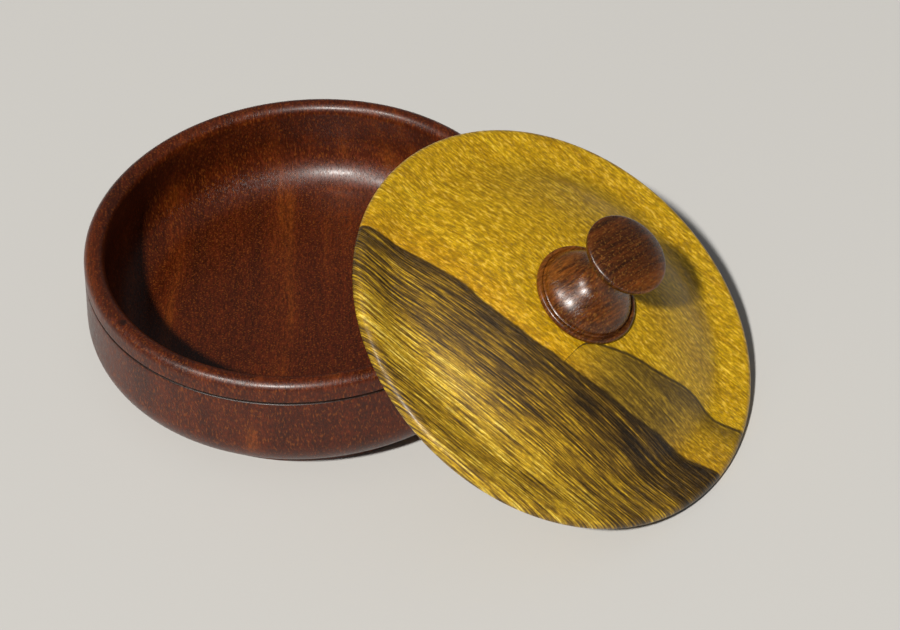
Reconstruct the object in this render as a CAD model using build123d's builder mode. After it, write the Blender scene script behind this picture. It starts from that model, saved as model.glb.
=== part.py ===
# A turned wooden bowl with a loose turned lid, shown as it is often set down: the lid is off,
# its low edge stands on the table and its flat underside leans on the rim of the bowl.
# Lengths are in millimetres. The origin is the middle of the bowl's foot, on the table, +Z is up,
# and the lid leans towards +X.
import os
from math import atan2, cos, degrees, radians, sin, tan

from build123d import *

# Bowl: radii from its own axis, heights from the table
rim_radius = 75.0           # outermost point of the rounded rim
rim_bead_radius = 3.5       # the rim is rounded over, so this is half its thickness
bowl_height = 45.4          # top of the rim
groove_drop = 7.5           # middle of the groove below the top of the rim
groove_width = 1.0
groove_depth = 1.2
lip_step = 0.3              # the side at the groove stands this far outside the rim
belly_swell = 1.7           # the widest point of the body stands this far outside the rim
belly_height = 20.5
turn_radius = 13.0          # arc that turns the body under
turn_angle = 65.0           # how far that arc turns, from upright, in degrees
foot_inset = 12.3           # the foot's edge lies this far inside the widest point
foot_edge = 0.6             # chamfer of the foot's outer edge
floor_height = 12.0         # inside floor of the bowl
cove_radius = 14.0          # sweep from the floor into the wall
wall_lean = 10.0            # how far the inside wall leans in towards the mouth, in degrees

# Lid: radii from its own axis, heights from the middle of its edge
lid_inset = 1.8             # the lid's edge lies this far inside the rim's widest point
edge_top_radius = 3.0       # upper rounding of the edge
edge_bottom_radius = 2.8    # lower rounding of the edge
band_width = 11.6           # raised band round the lid, from its edge to the valley
band_valley = 2.3           # height of the valley between the band and the dome
dome_height = 18.3          # flat seat of the knob
shoulder_inset = 26.6       # a point on the upper, rounded part of the dome, inside the valley
shoulder_height = 14.6
hollow_inset = 7.6          # the steepest point, where the dome turns hollow, inside the valley
hollow_height = 5.0
plug_clearance = 1.5        # all round, between the plug and the mouth of the bowl
plug_drop = 4.6             # length of the plug under the lid's edge
plug_edge = 3.0             # chamfer of the plug's lower edge, which guides it into the mouth

# Knob: radii from the lid's axis, heights from its seat on the dome
knob_base_radius = 17.8
knob_base_height = 2.4
knob_base_edge = 1.0        # rounding of the base disc's edge
knob_ring_radius = 15.4     # foot of the mound, a small step inside the base disc's edge
knob_ring_step = 0.9
mound_radius = 11.4         # a point on the rounded part of the mound
mound_height = 8.0
neck_radius = 7.2           # where the mound turns hollow and runs up into the waist
neck_height = 11.6
waist_radius = 4.9
waist_height = 20.0
head_radius = 14.0
head_height = 28.3          # widest circle of the head
head_under = 2.6            # the head's underside starts this far under its widest circle
head_rise = 3.6             # dome of the head over its widest circle
tenon_radius = 5.0
tenon_length = 11.0
tenon_clearance = 0.05      # glue line round the tenon
tenon_gap = 0.6             # space for glue under the tenon

# The lean of the lid
lean_angle = 32.2           # tilt of the lid's axis from upright, in degrees
rim_gap = 0.2               # between the lid's underside and the rim that it leans on


# Bowl
# The body follows the rim
lip_radius = rim_radius + lip_step
belly_radius = rim_radius + belly_swell
foot_radius = belly_radius - foot_inset

# The rounded rim, and the groove cut into the side under it
rim_centre_radius = rim_radius - rim_bead_radius
rim_centre_height = bowl_height - rim_bead_radius
groove_height = bowl_height - groove_drop
groove_top = groove_height + groove_width / 2
groove_bottom = groove_height - groove_width / 2
side_flare = degrees(atan2(belly_radius - lip_radius, groove_bottom - belly_height))

# The inside bellies out under the rim: the cove sweeps up from the floor past upright, and the wall
# leans in from there to the bead, which it meets smoothly
mouth_radius = rim_centre_radius - rim_bead_radius
lean_in = radians(wall_lean)
wall_top_radius = rim_centre_radius - rim_bead_radius * cos(lean_in)
wall_top_height = rim_centre_height - rim_bead_radius * sin(lean_in)
wall_rise = wall_top_height - floor_height - cove_radius * (1 + sin(lean_in))
floor_radius = wall_top_radius + wall_rise * tan(lean_in) - cove_radius * cos(lean_in)

with BuildPart() as bowl:
    with BuildSketch(Plane.XZ):
        with BuildLine():
            floor = Line((0, floor_height), (floor_radius, floor_height))
            cove = JernArc(floor @ 1, (1, 0), cove_radius, 90 + wall_lean)
            wall = Line(cove @ 1, (wall_top_radius, wall_top_height))
            bead = ThreePointArc(
                wall @ 1, (rim_centre_radius, bowl_height), (rim_radius, rim_centre_height)
            )
            groove = Polyline(
                bead @ 1,
                (lip_radius, groove_top),
                (lip_radius - groove_depth, groove_height),
                (lip_radius, groove_bottom),
            )
            side = Line(groove @ 1, (belly_radius, belly_height))
            turn = JernArc(side @ 1, side % 1, turn_radius, -turn_angle - side_flare)
            foot_rise = (turn @ 1).Y - ((turn @ 1).X - foot_radius) / tan(radians(turn_angle))
            under = Line(turn @ 1, (foot_radius, foot_rise))
            Polyline(under @ 1, (foot_radius, 0), (0, 0), floor @ 0)
        make_face()
    revolve(axis=Axis.Z)
    chamfer(bowl.edges().filter_by(GeomType.CIRCLE).sort_by(Axis.Z)[0], foot_edge)
bowl.part.label = "bowl"


# Lid
# Its edge overhangs the rim a little less than the rim's own width, and its plug drops into the mouth
lid_radius = rim_radius - lid_inset
valley_radius = lid_radius - band_width
shoulder_radius = valley_radius - shoulder_inset
hollow_radius = valley_radius - hollow_inset
plug_radius = mouth_radius - plug_clearance
plug_bottom = -edge_bottom_radius - plug_drop
seat_radius = knob_base_radius + knob_base_edge

# The lower of its edge and its plug stands on the table, and the underside meets the rounded rim
lean = radians(lean_angle)
edge_stand = (lid_radius - edge_bottom_radius) * sin(lean) + edge_bottom_radius
plug_stand = (plug_radius - plug_edge) * sin(lean) - plug_bottom * cos(lean)
lid_z = max(edge_stand, plug_stand)
reach = rim_bead_radius + rim_gap - plug_bottom - (lid_z - rim_centre_height) * cos(lean)
lid_x = rim_centre_radius + reach / sin(lean)
lid_axis = Axis((lid_x, 0, lid_z), (sin(lean), 0, cos(lean)))
lid_plane = Plane(origin=(lid_x, 0, lid_z), x_dir=(cos(lean), 0, -sin(lean)), z_dir=(0, -1, 0))

with BuildPart() as lid:
    with BuildSketch(lid_plane):
        with BuildLine():
            socket = Polyline(
                (0, dome_height - tenon_length - tenon_gap),
                (tenon_radius + tenon_clearance, dome_height - tenon_length - tenon_gap),
                (tenon_radius + tenon_clearance, dome_height),
                (seat_radius, dome_height),
            )
            dome = Spline(
                socket @ 1,
                (shoulder_radius, shoulder_height),
                (hollow_radius, hollow_height),
                (valley_radius, band_valley),
                tangents=((1, -0.05), (1, -0.06)),
            )
            band = Line(dome @ 1, (lid_radius - edge_top_radius, edge_top_radius))
            edge_top = RadiusArc(band @ 1, (lid_radius, 0), edge_top_radius)
            edge_bottom = RadiusArc(
                edge_top @ 1, (lid_radius - edge_bottom_radius, -edge_bottom_radius), edge_bottom_radius
            )
            Polyline(
                edge_bottom @ 1,
                (plug_radius, -edge_bottom_radius),
                (plug_radius, plug_bottom),
                (0, plug_bottom),
                socket @ 0,
            )
        make_face()
    revolve(axis=lid_axis)
    chamfer(lid.edges().filter_by(GeomType.CIRCLE).sort_by(lid_axis)[0], plug_edge)
lid.part.label = "lid"


# Knob, glued into the lid by its tenon
seat_centre = lid_axis.position + lid_axis.direction * dome_height
knob_plane = Plane(origin=seat_centre, x_dir=lid_plane.x_dir, z_dir=lid_plane.z_dir)

with BuildPart() as knob:
    with BuildSketch(knob_plane):
        with BuildLine():
            base = Polyline(
                (0, -tenon_length),
                (tenon_radius, -tenon_length),
                (tenon_radius, 0),
                (knob_base_radius - knob_base_edge, 0),
            )
            rounding = ThreePointArc(
                base @ 1,
                (knob_base_radius, knob_base_height / 2),
                (knob_base_radius - knob_base_edge, knob_base_height),
            )
            ring = Polyline(
                rounding @ 1,
                (knob_ring_radius, knob_base_height),
                (knob_ring_radius, knob_base_height + knob_ring_step),
            )
            mound = Spline(
                ring @ 1,
                (mound_radius, mound_height),
                (neck_radius, neck_height),
                (waist_radius, waist_height),
                tangents=((-0.45, 1), (0, 1)),
            )
            throat = Spline(
                mound @ 1, (head_radius - 1, head_height - head_under), tangents=((0, 1), (1, 0.25))
            )
            lip = Line(throat @ 1, (head_radius, head_height))
            crown = TangentArc((0, head_height + head_rise), lip @ 1, tangent=(1, 0))
            Line(crown @ 0, base @ 0)
        make_face()
    revolve(axis=lid_axis)
knob.part.label = "knob"

os.makedirs("parts", exist_ok=True)
export_step(bowl.part, "parts/bowl.step")
export_step(lid.part, "parts/lid.step")
export_step(knob.part, "parts/knob.step")
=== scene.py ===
from math import acos, atan2, cos, degrees, pi, radians, sin, tan

import bmesh
import bpy
from mathutils import Matrix, Vector


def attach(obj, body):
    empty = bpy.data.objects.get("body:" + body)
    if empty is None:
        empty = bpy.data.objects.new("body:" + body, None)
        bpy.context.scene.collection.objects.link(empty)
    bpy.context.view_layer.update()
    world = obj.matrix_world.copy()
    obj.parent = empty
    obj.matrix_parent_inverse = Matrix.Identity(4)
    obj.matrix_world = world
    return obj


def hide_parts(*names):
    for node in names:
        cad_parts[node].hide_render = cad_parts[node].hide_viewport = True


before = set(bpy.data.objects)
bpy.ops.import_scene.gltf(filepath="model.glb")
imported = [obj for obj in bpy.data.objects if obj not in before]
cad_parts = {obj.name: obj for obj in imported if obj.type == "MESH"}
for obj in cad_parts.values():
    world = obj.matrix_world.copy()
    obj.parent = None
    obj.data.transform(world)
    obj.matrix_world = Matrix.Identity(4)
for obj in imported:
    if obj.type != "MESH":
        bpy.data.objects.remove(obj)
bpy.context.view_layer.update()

mm = 0.001

# Bowl: one piece of dense red-brown wood, turned with a bellied inside, a rounded rim, a fine
# groove cut into the side under the rim and a small foot, then oiled and rubbed to a satin.
rim_radius = 75.0
rim_bead = 3.5
bowl_height = 45.4
groove_height = 37.9
groove_half_width = 0.5
groove_depth = 1.2
lip_radius = 75.3
belly_radius = 76.7
belly_height = 20.5
turn_radius = 13.0
turn_angle = 65.0
foot_radius = 64.4
foot_edge = 0.6
floor_height = 12.0
cove_radius = 14.0
wall_lean = 10.0


def straight_to(outline, *stretches):
    """Carries an outline on by straight stretches, each given as its end and its number of facets."""
    for end, facets in stretches:
        start = outline[-1]
        outline += [
            (start[0] + (end[0] - start[0]) * i / facets, start[1] + (end[1] - start[1]) * i / facets)
            for i in range(1, facets + 1)
        ]


def arc(centre, radius, start, end, facets):
    """Points of an arc, from one angle to another in degrees, anticlockwise from outwards.

    An arc that follows another stretch starts one facet past the point that they share.
    """
    angles = [radians(start + (end - start) * i / facets) for i in range(facets + 1)]
    return [(centre[0] + radius * cos(a), centre[1] + radius * sin(a)) for a in angles]


def shaped(name, work):
    """A new object with the mesh that was worked on."""
    mesh = bpy.data.meshes.new(name)
    work.to_mesh(mesh)
    work.free()
    made = bpy.data.objects.new(name, mesh)
    bpy.context.scene.collection.objects.link(made)
    return made


def turned(name, outline, place, body, replaced, facets=192):
    """A piece turned on a lathe: its outline, in millimetres, is spun round its axis and put in its place."""
    work = bmesh.new()
    points = [work.verts.new((r * mm, 0, z * mm)) for r, z in outline]
    edges = [work.edges.new(pair) for pair in zip(points, points[1:])]
    bmesh.ops.spin(
        work, geom=points + edges, cent=(0, 0, 0), axis=(0, 0, 1), dvec=(0, 0, 0),
        angle=2 * pi, steps=facets, use_merge=True, use_duplicate=False,
    )
    bmesh.ops.remove_doubles(work, verts=work.verts, dist=0.002 * mm)
    bmesh.ops.recalc_face_normals(work, faces=work.faces)
    bmesh.ops.transform(work, matrix=place, verts=work.verts)
    for face in work.faces:
        face.smooth = True
    piece = shaped(name, work)
    soften = piece.modifiers.new("softened edges", "BEVEL")
    soften.width = 0.22 * mm
    soften.segments = 3
    soften.limit_method = "ANGLE"
    soften.angle_limit = radians(24)
    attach(piece, body)
    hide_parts(replaced)
    return piece


# The wall runs from the cove to the rim's bead, and meets both smoothly
bead_centre = (rim_radius - rim_bead, bowl_height - rim_bead)
lean_in = radians(wall_lean)
wall_top = (bead_centre[0] - rim_bead * cos(lean_in), bead_centre[1] - rim_bead * sin(lean_in))
wall_rise = wall_top[1] - floor_height - cove_radius * (1 + sin(lean_in))
floor_radius = wall_top[0] + wall_rise * tan(lean_in) - cove_radius * cos(lean_in)

# The side flares from the groove to the belly, and an arc turns it under to the foot
groove_top = groove_height + groove_half_width
groove_bottom = groove_height - groove_half_width
side_flare = degrees(atan2(belly_radius - lip_radius, groove_bottom - belly_height))
turn_centre = (
    belly_radius - turn_radius * cos(radians(side_flare)),
    belly_height - turn_radius * sin(radians(side_flare)),
)

bowl_outline = [(0, floor_height)]
straight_to(bowl_outline, ((floor_radius, floor_height), 10))
bowl_outline += arc((floor_radius, floor_height + cove_radius), cove_radius, -90 + 4, wall_lean, 18)
straight_to(bowl_outline, (wall_top, 5))
bowl_outline += arc(bead_centre, rim_bead, 180 + wall_lean - 8, 0, 26)
straight_to(
    bowl_outline,
    ((lip_radius, groove_top), 3),
    ((lip_radius - groove_depth, groove_height), 2),
    ((lip_radius, groove_bottom), 2),
    ((belly_radius, belly_height), 8),
)
bowl_outline += arc(turn_centre, turn_radius, side_flare - 5, -turn_angle, 14)
turned_under = bowl_outline[-1]
foot_rise = turned_under[1] - (turned_under[0] - foot_radius) / tan(radians(turn_angle))
straight_to(
    bowl_outline,
    ((foot_radius, foot_rise), 3),
    ((foot_radius, foot_edge), 4),
    ((foot_radius - foot_edge, 0), 1),
    ((0, 0), 8),
)
bowl = turned("turned_bowl", bowl_outline, Matrix.Identity(4), "bowl", "bowl")


def fill(tree, node, inputs):
    """Sets the inputs of a node: a socket is linked, and anything else is a value."""
    for name, given in inputs.items():
        if isinstance(given, bpy.types.NodeSocket):
            tree.links.new(given, node.inputs[name])
        else:
            node.inputs[name].default_value = given


def add(tree, kind, inputs=None, **settings):
    """A new node with its settings and its inputs."""
    made = tree.nodes.new("ShaderNode" + kind)
    for name, value in settings.items():
        setattr(made, name, value)
    fill(tree, made, inputs or {})
    return made


def maths(tree, operation, *values):
    """One sum on values or sockets."""
    return add(tree, "Math", dict(enumerate(values)), operation=operation).outputs[0]


def shade(red, green, blue):
    """A colour as seen on a screen, 0 to 255, as the linear one that a shader takes."""
    linear = [((c / 255 + 0.055) / 1.055) ** 2.4 if c > 10 else c / 255 / 12.92 for c in (red, green, blue)]
    return (*linear, 1)


def ramp(tree, factor, stops, smooth=False):
    """Colours, or greys given as numbers, along a factor from 0 to 1."""
    made = add(tree, "ValToRGB", {0: factor})
    made.color_ramp.interpolation = "EASE" if smooth else "LINEAR"
    elements = made.color_ramp.elements
    while len(elements) < len(stops):
        elements.new(1.0)
    for element, (position, colour) in zip(elements, stops):
        element.position = position
        element.color = colour if isinstance(colour, tuple) else (colour, colour, colour, 1)
    return made.outputs[0]


def mix(tree, blend, share, first, second):
    """Two colours mixed."""
    made = add(tree, "Mix", {0: share, 6: first, 7: second}, data_type="RGBA", blend_type=blend)
    return made.outputs[2]


def varied(tree, colour, share, factor, stops):
    """A colour made darker and lighter along a factor."""
    return mix(tree, "MULTIPLY", share, colour, ramp(tree, factor, stops))


def covered(tree, colour, mask, share, cover):
    """A colour with another over it where a mask is, up to a share."""
    return mix(tree, "MIX", maths(tree, "MULTIPLY", mask, share), colour, cover)


def specked(tree, colour, place, fineness, share, speck):
    """A colour with small specks of another on it."""
    noise = add(tree, "TexNoise", {"Vector": place, "Scale": fineness, "Detail": 1.0}).outputs[0]
    return covered(tree, colour, ramp(tree, noise, [(0.56, 0), (0.7, 1)]), share, speck)


def grain_group():
    """Wood grain in millimetres, with the fibres along X: broad bands, fine fibres, pores and flecks."""
    tree = bpy.data.node_groups.new("wood grain", "ShaderNodeTree")
    for name, kind in (("Place", "Vector"), ("Fibre width", "Float"), ("Waviness", "Float")):
        tree.interface.new_socket(name, in_out="INPUT", socket_type="NodeSocket" + kind)
    for name in ("Bands", "Fibres", "Pores", "Flecks", "Height"):
        tree.interface.new_socket(name, in_out="OUTPUT", socket_type="NodeSocketFloat")
    given = tree.nodes.new("NodeGroupInput").outputs

    drift = add(tree, "TexNoise", {"Vector": given["Place"], "Scale": 0.022, "Detail": 2.0}).outputs["Color"]
    centred = add(tree, "VectorMath", {0: drift, 1: (0.5, 0.5, 0.5)}, operation="SUBTRACT").outputs[0]
    sideways = add(tree, "VectorMath", {0: centred, 1: (0, 9, 9)}, operation="MULTIPLY").outputs[0]
    bent = add(tree, "VectorMath", {0: sideways, "Scale": given["Waviness"]}, operation="SCALE").outputs[0]
    moved = add(tree, "VectorMath", {0: given["Place"], 1: bent}, operation="ADD").outputs[0]

    def noise(along, across, fineness, detail, roughness=0.5):
        """Noise drawn out along the fibres, by its rates along them and across them."""
        rates = (along, across, across)
        drawn_out = add(tree, "VectorMath", {0: moved, 1: rates}, operation="MULTIPLY").outputs[0]
        settings = {"Vector": drawn_out, "Scale": fineness, "Detail": detail, "Roughness": roughness}
        return add(tree, "TexNoise", settings).outputs[0]

    fineness = maths(tree, "DIVIDE", 1.0, given["Fibre width"])
    fibres = noise(0.028, 0.75, fineness, 5.0, 0.62)
    pores = ramp(tree, noise(0.3, 2.4, fineness, 2.0), [(0.56, 0), (0.68, 1)])
    fill(tree, tree.nodes.new("NodeGroupOutput"), {
        "Bands": noise(0.007, 0.1, 1.0, 3.0),
        "Fibres": fibres,
        "Pores": pores,
        "Flecks": noise(0.45, 1.35, 1.0, 3.0, 0.6),
        "Height": maths(tree, "MULTIPLY_ADD", pores, -0.55, maths(tree, "MULTIPLY", fibres, 0.6)),
    })
    return tree


wood_grain = grain_group()


def wood(name):
    """A wood material to fill in: its tree, its shader, and where the points of the piece are, in metres."""
    material = bpy.data.materials.new(name)
    material.use_nodes = True
    tree = material.node_tree
    return material, tree, tree.nodes["Principled BSDF"], add(tree, "TexCoord").outputs["Object"]


def measured(tree, here, centre, turn, upright=1.0):
    """A place in millimetres from a centre, along turned axes.

    A low upright share lets the grain change less with depth, so that it runs straight over a slope.
    """
    return add(
        tree, "Mapping",
        {"Vector": here, "Location": centre, "Rotation": turn, "Scale": (mm, mm, mm / upright)},
        vector_type="TEXTURE",
    ).outputs[0]


def grained(tree, place, fibre_width, waviness):
    """The bands, fibres, pores, flecks and height of the grain at a place."""
    given = {"Place": place, "Fibre width": fibre_width, "Waviness": waviness}
    return add(tree, "Group", given, node_tree=wood_grain).outputs


def oiled(tree, shader, colour, height, roughness, depth, gloss):
    """Joins colour, roughness and the open grain, to a depth in millimetres, to the shader of oiled wood."""
    relief = add(tree, "Bump", {"Height": height, "Distance": depth * mm, "Strength": 1.0})
    fill(tree, shader, {
        "Base Color": colour, "Roughness": roughness, "Normal": relief.outputs[0],
        "Specular IOR Level": gloss, "Coat Weight": 0.1, "Coat Roughness": 0.24,
    })


bowl_grain_turn = radians(119)
bowl_browns = [
    (0.30, shade(55, 17, 2)), (0.50, shade(68, 22, 2)), (0.62, shade(78, 28, 3)), (0.72, shade(96, 42, 5)),
]
bowl_pores = shade(28, 9, 3)
bowl_specks = shade(132, 70, 20)

bowl_wood, tree, shader, here = wood("oiled red-brown wood")
place = measured(tree, here, (0, 0, 0), (0, 0, bowl_grain_turn), 0.4)
grain = grained(tree, place, 0.7, 1.0)
brown = ramp(tree, grain["Bands"], bowl_browns)
brown = varied(tree, brown, 0.7, grain["Fibres"], [(0.32, 0.7), (0.5, 1.0), (0.68, 1.25)])
brown = varied(tree, brown, 0.9, grain["Flecks"], [(0.36, 0.66), (0.5, 0.95), (0.66, 1.6)])
brown = covered(tree, brown, grain["Pores"], 0.5, bowl_pores)
brown = specked(tree, brown, place, 1.5, 0.45, bowl_specks)

# Painted shade: the groove is darkened in the colour, as the shade that falls in the cut
groove_shade = shade(14, 6, 2)
groove_shade_spread = 1.4
spot = add(tree, "SeparateXYZ", {0: here}).outputs
across_squared = maths(tree, "ADD", maths(tree, "POWER", spot[0], 2), maths(tree, "POWER", spot[1], 2))
from_axis = maths(tree, "SQRT", across_squared)
from_groove = maths(tree, "ABSOLUTE", maths(tree, "SUBTRACT", spot[2], groove_height * mm))
from_groove = maths(tree, "DIVIDE", from_groove, groove_shade_spread * groove_half_width * mm)
outside = maths(tree, "GREATER_THAN", from_axis, (lip_radius - 2 * groove_depth) * mm)
painted_groove_shade = maths(tree, "MULTIPLY", ramp(tree, from_groove, [(0.6, 1), (1.0, 0)]), outside)
brown = covered(tree, brown, painted_groove_shade, 0.9, groove_shade)

# The rim has a small chip, several times as deep as the grain, and its hollow is darkened in the colour as
# painted shade
chip_place = (-31.9, -64.0, 45.3)
chip_reach = 2.4
chip_depth = 6.0
chip_hollow_shade = shade(26, 9, 4)
chip_centre = tuple(c * mm for c in chip_place)
from_chip = add(tree, "VectorMath", {0: here, 1: chip_centre}, operation="DISTANCE").outputs["Value"]
chip = ramp(tree, maths(tree, "DIVIDE", from_chip, chip_reach * mm), [(0.35, 1), (0.8, 0)], smooth=True)
brown = covered(tree, brown, chip, 0.85, chip_hollow_shade)
height = maths(tree, "MULTIPLY_ADD", chip, -chip_depth, grain["Height"])

roughness = ramp(tree, grain["Flecks"], [(0.3, 0.30), (0.7, 0.44)])
oiled(tree, shader, brown, height, roughness, 0.06, 0.32)
bowl.data.materials.append(bowl_wood)


# Lid: one piece of a yellow wood with a dark streak, turned to a dome inside a raised band, with a plug
# under it that drops into the bowl. It stands on its low edge and leans on the bowl's rim.
lid_inset = 1.8
edge_top = 3.0
edge_bottom = 2.8
band_width = 11.6
band_slopes = (0.1, 0.04)
valley_height = 2.3
valley_slope = -0.06
hollow = (54.0, 5.0)
hollow_slope = -0.62
shoulder = (35.0, 14.6)
shoulder_slope = -0.39
dome_height = 18.3
dome_slope = -0.05
seat_radius = 18.8
plug_gap = 1.5
plug_drop = 4.6
plug_edge = 3.0
rim_gap = 0.2
lean = radians(32.2)

lid_radius = rim_radius - lid_inset
valley_radius = lid_radius - band_width
band_top = (lid_radius - edge_top, edge_top)
plug_radius = rim_radius - 2 * rim_bead - plug_gap
plug_bottom = -edge_bottom - plug_drop

# The edge's lower rounding touches the table, and the plug's face lies a small gap off the rim's bead
lid_z = (lid_radius - edge_bottom) * sin(lean) + edge_bottom
reach = rim_bead + rim_gap - plug_bottom - (lid_z - bead_centre[1]) * cos(lean)
lid_x = bead_centre[0] + reach / sin(lean)
lid_centre = (lid_x * mm, 0, lid_z * mm)
lid_place = Matrix.Translation(lid_centre) @ Matrix.Rotation(lean, 4, "Y")


def sweep_to(outline, start_slope, end, end_slope, facets):
    """Carries an outline on by a smooth curve with the given slopes at its ends."""
    start = outline[-1]
    span = end[0] - start[0]
    for i in range(1, facets + 1):
        t = i / facets
        rise = (2 * t**3 - 3 * t**2 + 1) * start[1] + (t**3 - 2 * t**2 + t) * span * start_slope
        rise += (-2 * t**3 + 3 * t**2) * end[1] + (t**3 - t**2) * span * end_slope
        outline.append((start[0] + span * t, rise))


lid_outline = [(0, dome_height)]
straight_to(lid_outline, ((seat_radius, dome_height), 4))
sweep_to(lid_outline, dome_slope, shoulder, shoulder_slope, 12)
sweep_to(lid_outline, shoulder_slope, hollow, hollow_slope, 14)
sweep_to(lid_outline, hollow_slope, (valley_radius, valley_height), valley_slope, 12)
sweep_to(lid_outline, band_slopes[0], band_top, band_slopes[1], 8)
lid_outline += arc((lid_radius - edge_top, 0), edge_top, 90 - 10, 0, 9)
lid_outline += arc((lid_radius - edge_bottom, 0), edge_bottom, 0 - 10, -90, 8)
straight_to(
    lid_outline,
    ((plug_radius, -edge_bottom), 3),
    ((plug_radius, plug_bottom + plug_edge), 3),
    ((plug_radius - plug_edge, plug_bottom), 1),
    ((0, plug_bottom), 10),
)
lid = turned("turned_lid", lid_outline, lid_place, "lid", "lid")

# The figure of the lid: where the dark streak and the olive wedge begin, in millimetres from the lid's
# centre, along its grain and across it
streak_edge = [
    (-75, -24), (-56, -20.5), (-39, -22.4), (-18, -26.4), (5, -26.2), (33, -21.6), (50, -15.6), (75, -8),
]
wedge_edge = [
    (-75, -48), (3, -44), (6.5, -27), (9, -15.3), (16, -10.2), (34, -2.1), (50, 6.7), (62, 8.6), (75, 13),
]
figure_reach = 75.0
lid_layer_lean = radians(27)


def wavering_line(tree, along, points, waver):
    """How far across the grain a line of the figure lies, at each place along it."""
    position = add(tree, "MapRange", {0: along, 1: -figure_reach, 2: figure_reach}).outputs[0]
    line = add(tree, "FloatCurve", {"Value": position})
    curve = line.mapping.curves[0]
    for _ in points[1:-1]:
        curve.points.new(0, 0)
    for point, (a, b) in zip(curve.points, points):
        point.location = ((a + figure_reach) / 2 / figure_reach, (b + figure_reach) / 2 / figure_reach)
    line.mapping.update()
    level = add(tree, "MapRange", {0: line.outputs[0], 3: -figure_reach, 4: figure_reach}).outputs[0]
    return maths(tree, "ADD", level, waver)


def eased(tree, along, start, end, before, after):
    """A factor that eases from one value to another between two places along the grain."""
    given = {0: along, 1: start, 2: end, 3: before, 4: after}
    return add(tree, "MapRange", given, interpolation_type="SMOOTHSTEP").outputs[0]


def within(tree, distance, width, stops):
    """Greys along a distance, as a share of a width. A negative width counts the other way."""
    return ramp(tree, maths(tree, "DIVIDE", distance, width), stops)


def line_at(tree, distance, width):
    """A thin dark line where a distance is near zero."""
    return within(tree, maths(tree, "ABSOLUTE", distance), width, [(0.3, 1), (1.0, 0)])


lid_wood, tree, shader, here = wood("oiled yellow wood with a dark streak")
place = measured(tree, here, lid_centre, (lid_layer_lean, lean, 0), 0.02)
grain = grained(tree, place, 0.42, 0.16)
sides = add(tree, "SeparateXYZ", {0: measured(tree, here, lid_centre, (0, lean, 0))}).outputs
along, across = sides[0], sides[1]
wobble = add(tree, "TexNoise", {"Vector": place, "Scale": 0.06, "Detail": 4.0, "Roughness": 0.6}).outputs[0]
waver = maths(tree, "MULTIPLY", maths(tree, "SUBTRACT", wobble, 0.5), 2.4)
under_streak = maths(tree, "SUBTRACT", wavering_line(tree, along, streak_edge, waver), across)
under_wedge = maths(tree, "SUBTRACT", wavering_line(tree, along, wedge_edge, waver), across)
flecked = ramp(tree, grain["Flecks"], [(0.38, 0.62), (0.5, 0.94), (0.64, 1.38)])

# Golden ground, with pale flecks of painted sheen on its fibres and faint year rings, a little warmer beside
# the streak
gold = ramp(tree, grain["Fibres"], [
    (0.30, shade(164, 124, 4)), (0.45, shade(180, 140, 8)),
    (0.58, shade(196, 157, 14)), (0.72, shade(218, 185, 46)),
])
gold = mix(tree, "MULTIPLY", 1.0, gold, flecked)
# Painted sheen: pale flecks stand in for the shimmer of light on the fibres
painted_sheen_flecks = ramp(tree, grain["Flecks"], [(0.57, 0), (0.7, 0.45)])
gold = mix(tree, "MIX", painted_sheen_flecks, gold, shade(232, 208, 112))
gold = varied(tree, gold, 0.6, grain["Bands"], [(0.35, (0.86, 0.80, 0.6, 1)), (0.6, (1.06, 1.05, 1.0, 1))])
near_streak = within(tree, under_streak, -14.0, [(0.0, 1), (1.0, 0)])
gold = mix(tree, "MULTIPLY", maths(tree, "MULTIPLY", near_streak, 0.3), gold, shade(255, 214, 120))

# Dark streak, in strands and threads that thin out away from its border
darkness = within(tree, under_streak, 60.0, [
    (0.0, 0.92), (0.03, 0.76), (0.12, 0.7), (0.26, 0.58), (0.36, 0.42), (0.5, 0.32), (0.62, 0.4), (1.0, 0.36),
])
darkness = maths(tree, "ADD", darkness, eased(tree, along, 0.0, 55.0, 0.0, 0.14))
strands = maths(tree, "MULTIPLY", maths(tree, "SUBTRACT", grain["Bands"], 0.5), 0.7)
threads = maths(tree, "MULTIPLY", maths(tree, "SUBTRACT", grain["Fibres"], 0.5), 2.3)
darkness = maths(tree, "ADD", darkness, maths(tree, "ADD", strands, threads))
streaked = ramp(tree, darkness, [
    (0.0, shade(226, 200, 96)), (0.2, shade(192, 156, 34)), (0.4, shade(148, 114, 24)),
    (0.6, shade(96, 71, 18)), (0.8, shade(58, 41, 12)), (1.0, shade(24, 16, 6)),
])
streaked = mix(tree, "MULTIPLY", 0.8, streaked, flecked)

# Olive wedge beside the streak, dark along its border, that turns to gold near the edge of the lid
olive_tone = maths(tree, "MULTIPLY_ADD", grain["Fibres"], 0.6, maths(tree, "MULTIPLY", grain["Flecks"], 0.4))
olive = ramp(tree, olive_tone, [
    (0.36, shade(56, 42, 12)), (0.5, shade(104, 81, 22)), (0.62, shade(160, 128, 34)),
])
under_line = within(tree, under_wedge, 8.0, [(0.0, 1), (0.4, 0.8), (1.0, 0)])
shaded = maths(tree, "MULTIPLY", under_line, eased(tree, along, 12.0, 40.0, 0.35, 0.72))
olive = mix(tree, "MIX", eased(tree, along, 44.0, 60.0, 0.0, 0.7), olive, gold)
olive = mix(tree, "MIX", shaded, olive, shade(50, 35, 11))

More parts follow.
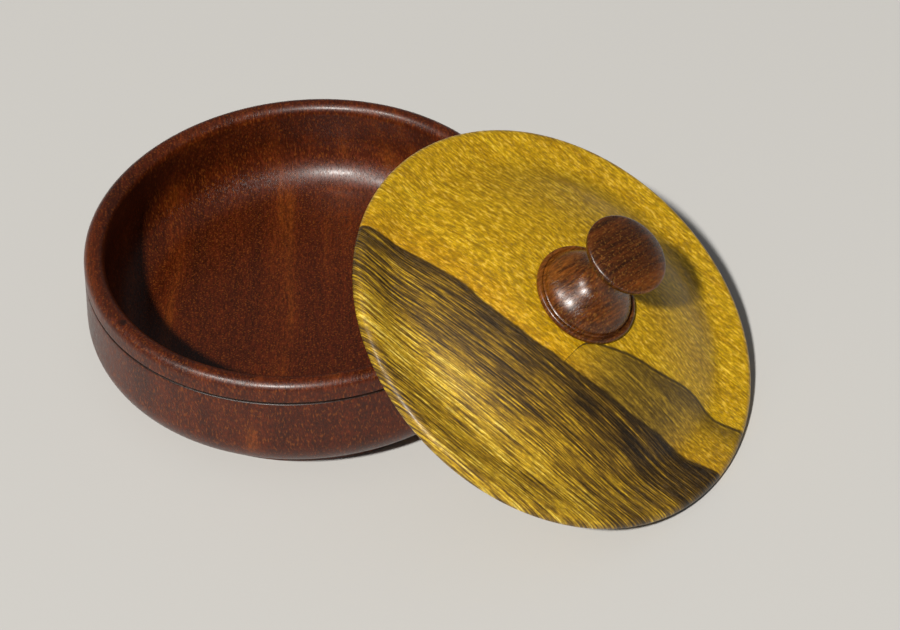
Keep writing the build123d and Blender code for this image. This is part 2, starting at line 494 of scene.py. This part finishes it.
# The three parts of the figure together, with a dark line along the border of the streak and the wedge
line_ink = shade(24, 14, 6)
lid_pores = shade(92, 66, 10)
in_wedge = within(tree, under_wedge, 1.2, [(0.0, 0), (1.0, 1)])
in_wedge = maths(tree, "MULTIPLY", in_wedge, eased(tree, along, 4.0, 26.0, 0.25, 0.95))
in_streak = within(tree, under_streak, 0.7, [(0.0, 0), (1.0, 1)])
colour = mix(tree, "MIX", in_wedge, gold, olive)
colour = mix(tree, "MIX", in_streak, colour, streaked)
colour = covered(tree, colour, line_at(tree, under_streak, 0.9), 0.9, line_ink)
above_streak = within(tree, under_streak, -1.0, [(0.0, 0), (1.0, 1)])
wedge_line = maths(tree, "MULTIPLY", line_at(tree, under_wedge, 1.0), above_streak)
colour = covered(tree, colour, wedge_line, 0.9, line_ink)
colour = covered(tree, colour, grain["Pores"], 0.35, lid_pores)

roughness = ramp(tree, grain["Fibres"], [(0.3, 0.34), (0.7, 0.48)])
oiled(tree, shader, colour, grain["Height"], roughness, 0.09, 0.26)
lid.data.materials.append(lid_wood)


# Knob: a spindle of dark red-brown wood, with a base disc, a mound that runs up into a thin waist, and a
# domed head to lift the lid by. Its tenon is glued into the lid.
base_radius = 17.8
base_height = 2.4
base_edge = 1.0
crease_width = 1.0
crease_depth = 0.6
ring_radius = 15.4
ring_step = 0.9
ring_taper = 0.1
mound = (10.9, 8.4)
waist = (4.9, 20.0)
head_radius = 14.0
head_height = 28.3
head_edge = 1.0
head_under = 2.6
head_rise = 3.6
brim_drop = 0.6
crown_inset = 1.4
tenon_radius = 5.0
tenon_length = 11.0

# The two pulls of each bend in its outline
base_pulls = ((base_radius + 0.3, 0.1), (base_radius + 0.3, base_height - 0.1))
mound_pulls = ((14.5, 5.2), (12.8, 6.9))
waist_pulls = ((8.3, 10.5), (waist[0], 12.5))
throat_pulls = ((waist[0], 24.0), (8.0, 25.2))
lip_pulls = ((head_radius - 0.2, 26.0), (head_radius, 26.8))
brim_pulls = ((head_radius, head_height), (head_radius - 0.5, head_height + 0.3))


def bend_to(outline, pulls, end, facets):
    """Carries an outline on by a curve that leaves towards its first pull and arrives from its second."""
    corners = (outline[-1], *pulls, end)
    for i in range(1, facets + 1):
        t = i / facets
        weights = ((1 - t) ** 3, 3 * t * (1 - t) ** 2, 3 * t**2 * (1 - t), t**3)
        outline.append(tuple(sum(w * c[axis] for w, c in zip(weights, corners)) for axis in (0, 1)))


crown_radius = (head_radius**2 + head_rise**2) / 2 / head_rise
crown_centre = (0, head_height + head_rise - crown_radius)
crown = arc(crown_centre, crown_radius, degrees(acos((head_radius - crown_inset) / crown_radius)), 90, 14)

knob_outline = [(0, -tenon_length)]
straight_to(
    knob_outline,
    ((tenon_radius, -tenon_length), 2),
    ((tenon_radius, 0), 3),
    ((base_radius - base_edge, 0), 4),
)
bend_to(knob_outline, base_pulls, (base_radius - base_edge, base_height), 10)
straight_to(
    knob_outline,
    ((ring_radius + crease_width, base_height), 2),
    ((ring_radius + crease_width / 2, base_height - crease_depth), 1),
    ((ring_radius, base_height), 1),
    ((ring_radius - ring_taper, base_height + ring_step), 1),
)
bend_to(knob_outline, mound_pulls, mound, 12)
bend_to(knob_outline, waist_pulls, waist, 14)
bend_to(knob_outline, throat_pulls, (head_radius - head_edge, head_height - head_under), 12)
bend_to(knob_outline, lip_pulls, (head_radius, head_height - brim_drop), 6)
bend_to(knob_outline, brim_pulls, crown[0], 6)
knob_outline += crown[1:-1] + [(0, head_height + head_rise)]
knob_place = lid_place @ Matrix.Translation((0, 0, dome_height * mm))
knob = turned("turned_knob", knob_outline, knob_place, "lid", "knob", facets=128)

knob_grain_turn = Matrix.Rotation(lean, 3, "Y") @ Matrix.Rotation(radians(72), 3, "Z")
knob_browns = [(0.32, shade(62, 28, 5)), (0.5, shade(82, 40, 8)), (0.66, shade(106, 58, 14))]
knob_pores = shade(28, 12, 5)
knob_specks = shade(150, 104, 44)

knob_wood, tree, shader, here = wood("oiled dark brown wood")
place = measured(tree, here, lid_centre, knob_grain_turn.to_euler(), 0.3)
grain = grained(tree, place, 0.8, 0.1)
brown = ramp(tree, grain["Bands"], knob_browns)
brown = varied(tree, brown, 1.0, grain["Fibres"], [(0.38, 0.5), (0.5, 1.0), (0.62, 1.5)])
brown = varied(tree, brown, 0.7, grain["Flecks"], [(0.38, 0.7), (0.52, 1.0), (0.66, 1.4)])
brown = specked(tree, brown, place, 1.7, 0.36, knob_specks)
brown = covered(tree, brown, grain["Pores"], 0.6, knob_pores)
roughness = ramp(tree, grain["Flecks"], [(0.3, 0.24), (0.7, 0.34)])
oiled(tree, shader, brown, grain["Height"], roughness, 0.05, 0.3)
knob.data.materials.append(knob_wood)


# Table: a plain pale top under the bowl, in a pale room that the camera sees as its backdrop. One soft
# lamp lights it from the front, and a second one, a little to its left, only adds gloss to the oiled wood.
table_half_width = 3.0
table_colour = (0.56, 0.555, 0.54, 1)
room_colour = (0.97, 0.98, 1.0, 1)
room_light = 0.14
room_seen = 0.62
lamp_colour = (1.0, 0.97, 0.92)
lamp_distance = 9.0
lamp_target = Vector((0.055, 0.0, 0.03))

work = bmesh.new()
bmesh.ops.create_grid(work, x_segments=2, y_segments=2, size=table_half_width)
table = shaped("table", work)
table_finish = bpy.data.materials.new("plain pale top")
table_finish.use_nodes = True
tree = table_finish.node_tree
fill(
    tree, tree.nodes["Principled BSDF"],
    {"Base Color": table_colour, "Roughness": 0.9, "Specular IOR Level": 0.1},
)
table.data.materials.append(table_finish)

scene = bpy.context.scene
scene.view_settings.view_transform = "Standard"
room = bpy.data.worlds.new("pale room")
room.use_nodes = True
tree = room.node_tree
seen = add(tree, "LightPath").outputs["Is Camera Ray"]
strength = add(tree, "MapRange", {0: seen, 3: room_light, 4: room_seen}).outputs[0]
fill(tree, tree.nodes["Background"], {"Color": room_colour, "Strength": strength})
scene.world = room


def lamp(name, compass, height, width, power, gloss_only=False):
    """A square soft lamp that faces the object. Its direction is in degrees."""
    light = bpy.data.lights.new(name, "AREA")
    light.shape = "SQUARE"
    light.size = width
    light.energy = power
    light.color = lamp_colour
    made = bpy.data.objects.new(name, light)
    up, round_about = radians(height), radians(compass)
    towards = Vector((cos(up) * cos(round_about), cos(up) * sin(round_about), sin(up)))
    made.location = lamp_target + lamp_distance * towards
    made.rotation_euler = (lamp_target - made.location).to_track_quat("-Z", "Y").to_euler()
    made.visible_diffuse = not gloss_only
    scene.collection.objects.link(made)


lamp("key", -82, 47, 0.45, 1090.0)
lamp("gleam", -120, 54, 0.8, 460.0, gloss_only=True)

camera_place = Vector((0.37217, -0.56379, 0.62527))
camera_target = Vector((0.05548, -0.00121, 0.0296))
camera_roll = radians(-3.12)
lens = bpy.data.cameras.new("camera")
lens.lens = 105.0
lens.sensor_width = 36.0
camera = bpy.data.objects.new("camera", lens)
camera.matrix_world = (
    Matrix.Translation(camera_place)
    @ (camera_target - camera_place).to_track_quat("-Z", "Y").to_matrix().to_4x4()
    @ Matrix.Rotation(camera_roll, 4, "Z")
)
scene.collection.objects.link(camera)
scene.camera = camera
